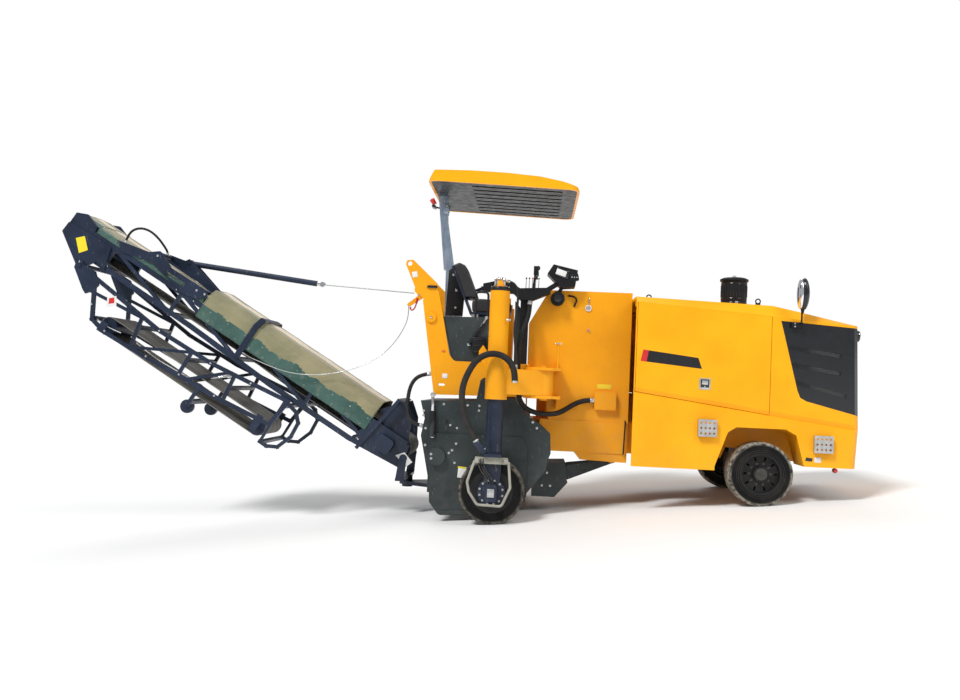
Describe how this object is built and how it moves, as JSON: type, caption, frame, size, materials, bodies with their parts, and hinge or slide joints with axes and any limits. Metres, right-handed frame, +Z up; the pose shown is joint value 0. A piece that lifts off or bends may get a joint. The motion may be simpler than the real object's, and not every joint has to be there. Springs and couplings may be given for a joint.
{
  "type": "cold planer milling machine",
  "caption": "Wheeled road milling machine with a drum housing, swing-out rear wheel, operator canopy and a folding rear loading conveyor.",
  "frame": {"origin": "centre of the bounding box, on the ground under the wheels", "axes": "+X forward along the travel direction, +Y left, +Z up; the machine is parked nose low on its raised rear legs"},
  "size_m": [8.6684, 2.646, 3.7363],
  "materials": {
    "yellow_paint": "satin",
    "black_paint": "satin",
    "grey_paint": "satin",
    "black_plastic": "matte",
    "rim_paint": "satin",
    "tyre": "matte",
    "steel": "worn",
    "seat_cover": "matte",
    "cover_cloth": "matte",
    "belt_rubber": "matte",
    "hose_rubber": "satin"
  },
  "bodies": {
    "chassis": {"chassis_frame": "yellow_paint", "body_shell": "yellow_paint", "nose_grilles": "black_plastic", "step_plates": "steel", "mirror_right": "black_plastic", "engine_block": "black_paint", "intake_stack": "black_plastic", "front_axle": "black_paint", "swing_bracket": "yellow_paint", "sleeve_left": "yellow_paint", "drum_housing": "grey_paint", "rear_frame": "yellow_paint", "deck_panels": "grey_paint", "seat_frame": "black_paint", "seat_cushions": "seat_cover", "console": "black_plastic", "canopy_mast": "grey_paint", "canopy_roof": "yellow_paint", "canopy_liner": "black_plastic", "foot_bracket": "black_paint", "hose_bundle": "hose_rubber", "hose_rear": "hose_rubber"},
    "door_right": {"door_right": "yellow_paint"},
    "door_left": {"door_left": "yellow_paint"},
    "knuckle_right": {"knuckle_right": "black_paint"},
    "knuckle_left": {"knuckle_left": "black_paint"},
    "front_wheel_right": {"front_rim_right": "rim_paint", "front_tyre_right": "tyre"},
    "front_wheel_left": {"front_rim_left": "rim_paint", "front_tyre_left": "tyre"},
    "swing_arm": {"swing_arm": "yellow_paint", "hose_column": "hose_rubber"},
    "leg_right": {"leg_right": "black_paint", "guard_bar": "yellow_paint", "hose_wheel": "hose_rubber"},
    "leg_left": {"leg_left": "black_paint"},
    "rear_wheel_right": {"rear_rim_right": "rim_paint", "rear_tyre_right": "tyre"},
    "rear_wheel_left": {"rear_rim_left": "rim_paint", "rear_tyre_left": "tyre"},
    "milling_drum": {"milling_drum": "steel"},
    "side_plate_right": {"side_plate_right": "grey_paint"},
    "scraper": {"scraper": "black_paint"},
    "hold_down": {"hold_down": "grey_paint"},
    "conveyor_foot": {"conveyor_foot": "black_paint"},
    "conveyor": {"conveyor_frame": "black_paint", "conveyor_belt": "belt_rubber", "conveyor_cover": "cover_cloth", "hose_stay": "hose_rubber", "wire_right": "steel"},
    "fold_section": {"fold_frame": "black_paint", "fold_belt": "belt_rubber"},
    "stay_barrel": {"stay_barrel": "black_paint"},
    "stay_rod": {"stay_rod": "steel", "stay_rope": "steel"}
  },
  "joints": [
    {"name": "door_right_hinge", "type": "hinge", "parent": "chassis", "child": "door_right", "pos_m": [2.09963, -0.731, 2.17975], "axis": [-0.9857, 0, 0.1683], "range_deg": [0, 75]},
    {"name": "door_left_hinge", "type": "hinge", "parent": "chassis", "child": "door_left", "pos_m": [2.09963, 1.269, 2.17975], "axis": [0.9857, 0, -0.1683], "range_deg": [0, 75]},
    {"name": "steer_right", "type": "hinge", "parent": "chassis", "child": "knuckle_right", "pos_m": [3.24749, -0.421, 0.33], "axis": [0.0959, 0, 0.9954], "range_deg": [-28, 28]},
    {"name": "steer_left", "type": "hinge", "parent": "chassis", "child": "knuckle_left", "pos_m": [3.24749, 0.959, 0.33], "axis": [0.0959, 0, 0.9954], "range_deg": [-28, 28]},
    {"name": "front_wheel_right_spin", "type": "hinge", "parent": "knuckle_right", "child": "front_wheel_right", "pos_m": [3.24749, -0.601, 0.33], "axis": [0, 1, 0], "continuous": true},
    {"name": "front_wheel_left_spin", "type": "hinge", "parent": "knuckle_left", "child": "front_wheel_left", "pos_m": [3.24749, 1.139, 0.33], "axis": [0, 1, 0], "continuous": true},
    {"name": "swing_arm_hinge", "type": "hinge", "parent": "chassis", "child": "swing_arm", "pos_m": [1.06853, -0.831, 1.38386], "axis": [0.0959, 0, 0.9954], "range_deg": [0, 180]},
    {"name": "leg_right_slide", "type": "slide", "parent": "swing_arm", "child": "leg_right", "axis": [0.0959, 0, 0.9954], "range_m": [-0.13, 0.265]},
    {"name": "leg_left_slide", "type": "slide", "parent": "chassis", "child": "leg_left", "axis": [0.0959, 0, 0.9954], "range_m": [-0.13, 0.265]},
    {"name": "rear_wheel_right_spin", "type": "hinge", "parent": "leg_right", "child": "rear_wheel_right", "pos_m": [0.48476, -1.049, 0.33], "axis": [0, 1, 0], "continuous": true},
    {"name": "rear_wheel_left_spin", "type": "hinge", "parent": "leg_left", "child": "rear_wheel_left", "pos_m": [0.48476, 1.139, 0.33], "axis": [0, 1, 0], "continuous": true},
    {"name": "drum_spin", "type": "hinge", "parent": "chassis", "child": "milling_drum", "pos_m": [0.37142, -0.221, 0.71766], "axis": [0, 1, 0], "continuous": true},
    {"name": "side_plate_right_slide", "type": "slide", "parent": "chassis", "child": "side_plate_right", "axis": [0.0959, 0, 0.9954], "range_m": [0, 0.25]},
    {"name": "scraper_slide", "type": "slide", "parent": "chassis", "child": "scraper", "axis": [0.0959, 0, 0.9954], "range_m": [0, 0.15]},
    {"name": "hold_down_hinge", "type": "hinge", "parent": "chassis", "child": "hold_down", "pos_m": [1.7727, 0.014, 0.50728], "axis": [0, 1, 0], "range_deg": [0, 6]},
    {"name": "conveyor_slew", "type": "hinge", "parent": "chassis", "child": "conveyor_foot", "pos_m": [-0.5527, 0.269, 0.36467], "axis": [0.0959, 0, 0.9954], "range_deg": [-30, 30]},
    {"name": "conveyor_lift", "type": "hinge", "parent": "conveyor_foot", "child": "conveyor", "pos_m": [-0.52661, 0.269, 0.63542], "axis": [0, 1, 0], "range_deg": [-24, 0]},
    {"name": "conveyor_fold", "type": "hinge", "parent": "conveyor", "child": "fold_section", "pos_m": [-4.12946, 0.269, 3.00995], "axis": [0, 1, 0], "range_deg": [0, 177.5]},
    {"name": "stay_barrel_pivot", "type": "hinge", "parent": "conveyor", "child": "stay_barrel", "pos_m": [-3.01355, 0.269, 3.01795], "axis": [0, 1, 0], "range_deg": [-0.2, 0.8]},
    {"name": "stay_stroke", "type": "slide", "parent": "stay_barrel", "child": "stay_rod", "axis": [0.9771, 0, -0.2126], "range_m": [-0.005, 0.788]}
  ],
  "couplings": [
    {"joint": "steer_left", "follows": "steer_right", "ratio": 1},
    {"joint": "stay_barrel_pivot", "follows": "conveyor_lift", "ratio": -0.02491},
    {"joint": "stay_stroke", "follows": "conveyor_lift", "m_per_rad": -1.8693}
  ]
}
